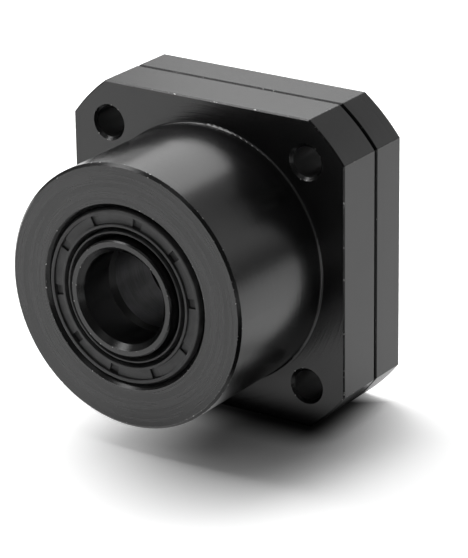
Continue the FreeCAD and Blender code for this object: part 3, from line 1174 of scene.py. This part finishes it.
# Mirrored rays see an even glow, plus a painted reflection that is strongest near the part and left out at
# the foot
mirror_rays_with_painted_foot_shade = calc(tree, "MAXIMUM", ray["Is Glossy Ray"], ray["Is Transmission Ray"])
mirror_rays_with_painted_foot_shade = times(tree, mirror_rays_with_painted_foot_shade, fade(tree, foot_gap, *painted_reflection_foot_shade_fade))
glow = mixture(tree, (seen, camera_glow), (mirror_rays_with_painted_foot_shade, fade(tree, out_of_painted_shadow, *painted_reflection_fade, *reflection_glow_partly_painted)))
fill(
    tree,
    shader,
    Base_Color=join(tree, paper, paper, paper),
    Emission_Color=join(tree, glow, glow, glow),
    Emission_Strength=1.0,
    Specular_IOR_Level=0.0,
)
table = finished_piece("table", table_shape, table_paper_with_painted_shadow)
print("stage:", table.name)

# %% [markdown]
# ## The lights
# Dark glossy metal shows its surroundings more than its own colour, so each lamp is a surface
# that the part can mirror. A soft box behind draws the bright band along the barrel, and a
# strong one high on the left lights the paper and gives the soft shadow. A low one behind and a
# weak one in front lift what is still dark. A small one is only mirrored, so it draws the edges
# and lights no paper. A lamp's brightness is that of its surface, where 1 is white, which takes
# 4 watts a square metre.

# %% Soft boxes
box_distance = 0.9
watts_when_white = 4
# Name, azimuth and elevation in degrees, width and height in metres, brightness, lights paper
soft_boxes = (
    ("soft box behind", -160, 45, 0.55, 0.8, 1.45, True),
    ("soft box left", -110, 57, 0.7, 0.7, 4.4, True),
    ("soft box low behind", -143, 10, 0.35, 0.25, 0.7, True),
    ("soft box in front", 8, 56, 0.3, 0.3, 0.4, True),
    ("soft box for the edges", -55, 50, 0.25, 0.25, 5.0, False),
)
for name, azimuth, elevation, width, height, brightness, lights_paper in soft_boxes:
    light = bpy.data.lights.new(name, "AREA")
    light.shape = "RECTANGLE"
    light.size = width
    light.size_y = height
    light.energy = brightness * width * height * watts_when_white
    box = bpy.data.objects.new(name, light)
    towards = direction(math.radians(azimuth), math.radians(elevation))
    box.location = towards * box_distance
    box.rotation_euler = towards.to_track_quat("Z", "Y").to_euler()
    box.visible_camera = False
    box.visible_diffuse = lights_paper
    bpy.context.scene.collection.objects.link(box)
print("lamps:", len(soft_boxes))

# %% [markdown]
# ## The black card: a painted reflection
# A photographer lays a black card beside dark metal, so that the sides turned to it mirror black instead
# of white paper, and the form stays clear. Here it is a painted reflection: a black sheet on the table, to
# the right of the barrel and in front of it, that only mirrored rays see. The camera doesn't see it, and
# it casts no shadow.

# %% Black card
painted_reflection_card, tree, shader, position = start_finish("painted_reflection_card", ior=1.45, roughness=0.9)
fill(tree, shader, Base_Color=(0.003, 0.003, 0.003, 1), Specular_IOR_Level=0.0)
card_gap = 0.05
card_level = (floor_level + card_gap) * MM
card_corners = [(50, -8), (34, -50), (50, -90), (115, -116), (145, -132), (165, -86)]
card_shape = bmesh.new()
card_shape.faces.new([card_shape.verts.new((x * MM, y * MM, card_level)) for x, y in card_corners])
card = finished_piece("black card", card_shape, painted_reflection_card)
# Painted reflection: only mirrored rays see the card
card.visible_camera = False
card.visible_diffuse = False
card.visible_transmission = False
card.visible_shadow = False
print("stage:", card.name, "with corners", card_corners)

# %% [markdown]
# ## The room
# Between the lamps the metal mirrors the room: a pale back wall, lit most a little above the
# table, and a dark side where the camera stands. Walls could be built, but the world's strength
# by direction does the same. The back wall's tone goes by height and gets darker to the left.

# %% Room
wall_by_height = [(0, 0.14), (0.12, 0.25), (0.27, 0.67), (0.4, 0.64), (0.55, 0.44), (0.75, 0.2), (1, 0.2)]
wall_to_left = (0.1, -0.4)
wall_left_share = (1.0, 0.3)
front_to_left = (-0.1, -0.6)
front_tones = (0.12, 0.25)
front_to_back = (0.45, 0.7)

world = bpy.data.worlds.new("grey room")
world.use_nodes = True
bpy.context.scene.world = world
tree = world.node_tree
ways = split(tree, put(tree, "ShaderNodeTexCoord").outputs["Generated"])
height_ramp = put(tree, "ShaderNodeValToRGB", {"Fac": ways["Z"]})
stops = height_ramp.color_ramp.elements
while len(stops) < len(wall_by_height):
    stops.new(1.0)
for stop, (height, shade) in zip(stops, wall_by_height):
    stop.position = height
    stop.color = (shade, shade, shade, 1)
front_wall = fade(tree, ways["X"], *front_to_left, *front_tones)
left_share = fade(tree, ways["X"], *wall_to_left, *wall_left_share)
back_wall = times(tree, height_ramp.outputs["Color"], left_share)
brightness = blend(tree, fade(tree, ways["Y"], *front_to_back), front_wall, back_wall, kind="FLOAT")
background = tree.nodes["Background"]
fill(tree, background, Color=(1.0, 1.0, 1.0, 1), Strength=brightness)
bpy.context.scene.view_settings.view_transform = "Standard"
print("world:", world.name)
